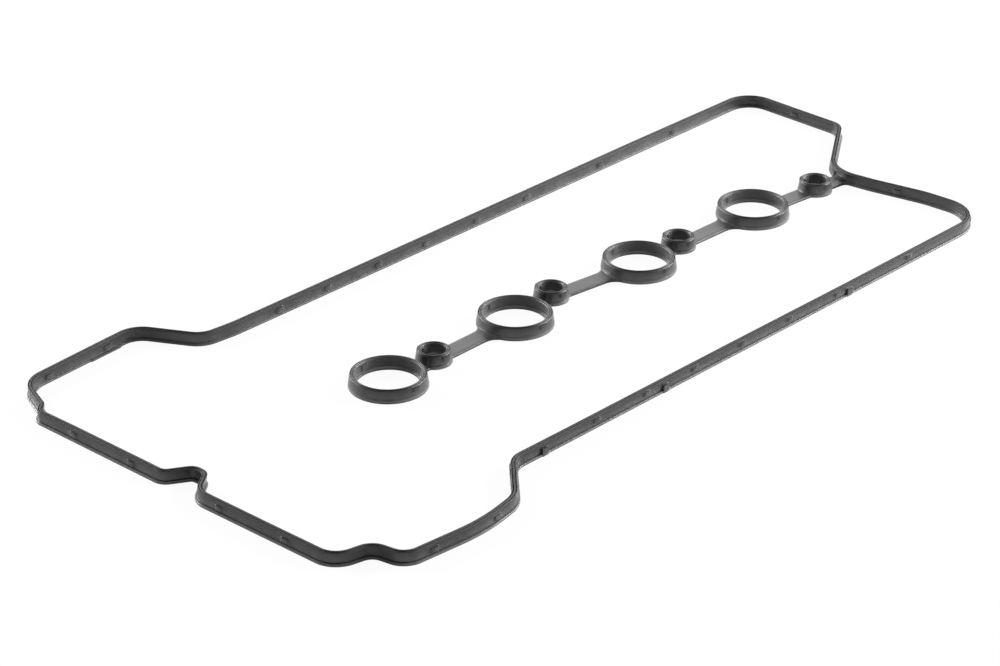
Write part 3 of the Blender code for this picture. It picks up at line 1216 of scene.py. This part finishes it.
    def nub(self, side: Side, facing: Facing, span: tuple[float, float], proud: float) -> Relief:
        """A retaining nub: a block that stands out of the web.

        Its reach at a height is the web's offset there plus how far it stands proud.

        Args:
            side: the side of the wall that it stands on.
            facing: whether that is the outer or the inner side.
            span: heights of its lower and upper end.
            proud: how far it stands out of the web.

        Returns:
            The nub as a relief.
        """
        low, high = span
        web = np.interp(span, self.web_span, (side.low, side.high)) + proud
        heights = (low - self.nub_ledge, low, high, high + self.nub_ledge)
        reaches = (0.0, float(web[0]), float(web[1]), 0.0)
        return Relief(facing, self.nub_length, heights, reaches, self.nub_softness)

    @staticmethod
    def levels(reliefs: list[tuple[Relief, Array]]) -> tuple[float, ...]:
        """Heights at which a wall's section needs points, so that features keep crisp edges."""
        return tuple(sorted({level for relief, _ in reliefs for level in relief.heights}))

    def loop(self) -> bpy.types.Object:
        """The outer loop with its nubs, its tabs and the pad in its far bay.

        Returns:
            A closed mesh object.
        """
        line = self.loop_line()
        wide, front, step = self.half_width, self.front_x, self.step_x
        near = line.nearest([(x, -wide) for x in self.near_nubs])
        spots = [(x, wide) for x in self.far_nubs]
        spots += [(front, y) for y in self.front_nubs]
        spots += [(front + x, self.bay_far_y) for x in self.far_bay_nubs]
        spots += [(front + x, self.bay_near_y) for x in self.near_bay_nubs]
        spots += [(step, y) for y in self.step_nubs]
        spots += [(step + self.rear_step, y) for y in self.rear_nubs]
        rest = line.nearest(spots)
        outer, inner, proud = self.loop_outer, self.loop_inner, self.nub_proud
        nubs = [
            (self.nub(outer, Facing.OUTER, self.near_nub_span, proud), near),
            (self.nub(outer, Facing.OUTER, self.outer_nub_span, proud), rest),
            (self.nub(inner, Facing.INNER, self.inner_nub_span, proud), np.concatenate([near, rest])),
        ]
        low_features = [
            (self.tab, line.nearest([(x, -wide) for x in self.tabs])),
            (self.pad, line.nearest([(self.pad_x, self.bay_far_y)])),
        ]
        section = WallSection(inner, outer, self.loop_height, levels=self.levels(nubs))
        places = line.nearest([(x, y) for x, y, _ in self.leans]).tolist()
        leans = tuple(sorted(zip(places, [slope for _, _, slope in self.leans])))
        return Wall("loop", line, section, nubs + low_features, leans).build()

    def ring(self, name: str, centre: Array, shape: RingShape) -> bpy.types.Object:
        """A ring with a nub on each face at its near and far sides.

        Args:
            name: object name.
            centre: the ring's centre.
            shape: its radius, sides and height.

        Returns:
            A closed mesh object.
        """
        line = CentreLine.circle(float(centre[0]), float(centre[1]), shape.radius)
        places = line.total * np.array(self.ring_nubs)
        spans = self.ring_nub_spans
        reliefs = [
            (self.nub(shape.outer, Facing.OUTER, spans[0], self.ring_nub_proud), places),
            (self.nub(shape.inner, Facing.INNER, spans[1], self.nub_proud), places),
        ]
        groove, levels = self.ring_groove_width, self.levels(reliefs)
        section = WallSection(shape.inner, shape.outer, shape.height, groove_width=groove, levels=levels)
        return Wall(name, line, section, reliefs, turn_step=self.ring_turn_step).build()

    def straps(self) -> list[bpy.types.Object]:
        """The straps along the row, and the tie to the loop.

        Returns:
            Closed mesh objects, the tie's two last.
        """
        tubes, bolts = self.tubes, self.bolts
        tube_foot, bolt_foot = self.tube_shape.foot, self.bolt_shape.foot
        made = []
        for k, (tube, bolt) in enumerate(zip(tubes, bolts)):
            last = k == len(tubes) - 1
            near = RingEnd(tuple(tube), tube_foot, self.tube_flare if last else self.bolt_flare)
            far = RingEnd(tuple(bolt), bolt_foot, self.bolt_flare)
            made.append(Strap(f"strap_tube_{k + 1}", near, far).build())
            if not last:
                end = RingEnd(tuple(tubes[k + 1]), tube_foot, self.tube_flare)
                made.append(Strap(f"strap_bolt_{k + 1}", far, end, aim=self.strap_aim).build())
        ring = RingEnd(tuple(bolts[-1]), bolt_foot, self.bolt_flare)
        side = self.loop_inner
        tie = Tie(ring, self.loop_line(), self.step_x, self.tie_y, side.foot, side.low)
        return made + tie.build()

    def build(self) -> list[bpy.types.Object]:
        """All pieces, dressed and riding on the part's one body.

        Returns:
            The mesh objects, the loop first.
        """
        pieces = [self.loop()]
        rows = (("tube", self.tubes, self.tube_shape), ("bolt", self.bolts, self.bolt_shape))
        for kind, centres, shape in rows:
            for k, centre in enumerate(centres):
                pieces.append(self.ring(f"{kind}_ring_{k + 1}", centre, shape))
        pieces += self.straps()
        kinds = {
            "loop": self.wall_finish_painted_light_shade.material(),
            "ring": self.ring_finish_painted_light_shade.material(),
            "ramp": self.ramp_painted_shade_finish.material(),
        }
        plain = self.strap_finish.material()
        for piece in pieces:
            piece.data.materials.append(next((kinds[kind] for kind in kinds if kind in piece.name), plain))
            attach(piece, "root")
            log.info("%s: %d faces", piece.name, len(piece.data.polygons))
        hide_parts(NODE)
        return pieces


# The studio


@dataclass(frozen=True)
class Lamp:
    """A soft lamp that faces the object: its place in the camera's bearings, size and power."""

    name: str
    rightwards: float
    forwards: float
    up: float
    width: float
    height: float
    power: float


@dataclass
class Studio:
    """Pale floor, soft lamps and the camera, at the photograph's viewing angle.

    The camera's bearings are metres on the floor from the point that it looks at:
    rightwards across the picture, and forwards away from the viewer. distance, clip_end
    and floor_size are metres too, and elevation and heading are degrees.
    """

    lens: float = 121.36
    sensor: float = 36.0
    distance: float = 1.643
    clip_end: float = 50.0
    elevation: float = 27.27
    heading: float = 46.6
    target: tuple[float, float] = (-55.95, 1.25)
    floor_size: float = 12.0
    floor_shade: float = 0.80
    sky: float = 0.15
    shadow_share: float = 0.06
    lamps: tuple[Lamp, ...] = (
        Lamp("right", 1.5, 0.45, 0.5, 1.2, 0.8, 70.0),
        Lamp("left", -1.45, 0.9, 0.5, 1.2, 0.8, 74.0),
        Lamp("back", 0.0, 2.2, 1.0, 3.4, 1.3, 24.0),
        Lamp("top", 0.1, -0.1, 1.8, 1.2, 1.2, 6.0),
    )

    def place(self, rightwards: float, forwards: float, up: float) -> tuple[float, float, float]:
        """A point given in the camera's bearings.

        Args:
            rightwards: metres across the picture.
            forwards: metres away from the viewer.
            up: height in metres.

        Returns:
            The point in the row frame, in metres.
        """
        turn = math.radians(self.heading)
        x = (self.target[0] - ORIGIN[0]) * MM + rightwards * math.cos(turn) + forwards * math.sin(turn)
        y = (self.target[1] - ORIGIN[1]) * MM - rightwards * math.sin(turn) + forwards * math.cos(turn)
        return x, y, up

    def aimed(
        self, thing: bpy.types.Object, rightwards: float, forwards: float, up: float
    ) -> bpy.types.Object:
        """Puts a camera or lamp at a place, facing the point that the camera looks at.

        Args:
            thing: the camera or lamp.
            rightwards: metres across the picture.
            forwards: metres away from the viewer.
            up: height in metres.

        Returns:
            The same object, linked to the scene.
        """
        eye = np.array(self.place(rightwards, forwards, up))
        look = np.array(self.place(0, 0, 0)) - eye
        look /= np.linalg.norm(look)
        thing.location = eye
        thing.rotation_euler = (math.acos(-look[2]), 0.0, math.atan2(-look[0], look[1]))
        bpy.context.scene.collection.objects.link(thing)
        return thing

    def camera(self) -> bpy.types.Object:
        """The scene's camera.

        Returns:
            The camera's object.
        """
        data = bpy.data.cameras.new("camera")
        data.lens = self.lens
        data.sensor_width = self.sensor
        data.clip_end = self.clip_end
        slope = math.radians(self.elevation)
        run, rise = self.distance * math.cos(slope), self.distance * math.sin(slope)
        camera = self.aimed(bpy.data.objects.new("camera", data), 0.0, -run, rise)
        bpy.context.scene.camera = camera
        return camera

    def light(self) -> None:
        """The lamps."""
        for lamp in self.lamps:
            data = bpy.data.lights.new(lamp.name, "AREA")
            data.shape = "RECTANGLE"
            data.size = lamp.width
            data.size_y = lamp.height
            data.energy = lamp.power
            self.aimed(bpy.data.objects.new(lamp.name, data), lamp.rightwards, lamp.forwards, lamp.up)

    def world(self) -> None:
        """A plain sky: white to the camera, and softer as light."""
        world = bpy.data.worlds.new("sky")
        shader = Shader.of(world)
        path = shader.node("ShaderNodeLightPath")
        seen = shader.value(path.outputs["Is Camera Ray"])
        strength = self.sky + seen * (1.0 - self.sky)
        back = shader.node("ShaderNodeBackground", Color=WHITE, Strength=strength)
        shader.node("ShaderNodeOutputWorld", Surface=back.outputs[0])
        bpy.context.scene.world = world

    def floor(self) -> bpy.types.Object:
        """A pale floor that the camera sees as white, apart from a share of the shadows.

        Returns:
            The floor's object.
        """
        half = self.floor_size / 2
        mesh = bpy.data.meshes.new("floor")
        corners = [(-half, -half, 0.0), (half, -half, 0.0), (half, half, 0.0), (-half, half, 0.0)]
        mesh.from_pydata(corners, [], [(0, 1, 2, 3)])
        floor = bpy.data.objects.new("floor", mesh)
        bpy.context.scene.collection.objects.link(floor)
        made = bpy.data.materials.new("floor")
        shader = Shader.of(made)
        shade = (self.floor_shade,) * 3
        matt = shader.node("ShaderNodeBsdfDiffuse", Color=(*shade, 1.0)).outputs[0]
        white = shader.node("ShaderNodeEmission", Color=WHITE, Strength=1.0).outputs[0]
        seen = shader.value(shader.node("ShaderNodeLightPath").outputs["Is Camera Ray"])
        mixed = shader.node("ShaderNodeMixShader", i0=seen * (1.0 - self.shadow_share), i1=matt, i2=white)
        shader.node("ShaderNodeOutputMaterial", Surface=mixed.outputs[0])
        mesh.materials.append(made)
        return floor

    def build(self) -> None:
        """Floor, sky, lamps, camera and the plain colour view."""
        self.floor()
        self.world()
        self.light()
        self.camera()
        bpy.context.scene.view_settings.view_transform = "Standard"


def main() -> None:
    """Builds the gasket and the studio."""
    logging.basicConfig(level=logging.INFO, format="%(name)s %(message)s")
    Gasket().build()
    Studio().build()
    bpy.context.view_layer.update()


if __name__ == "__main__":
    main()
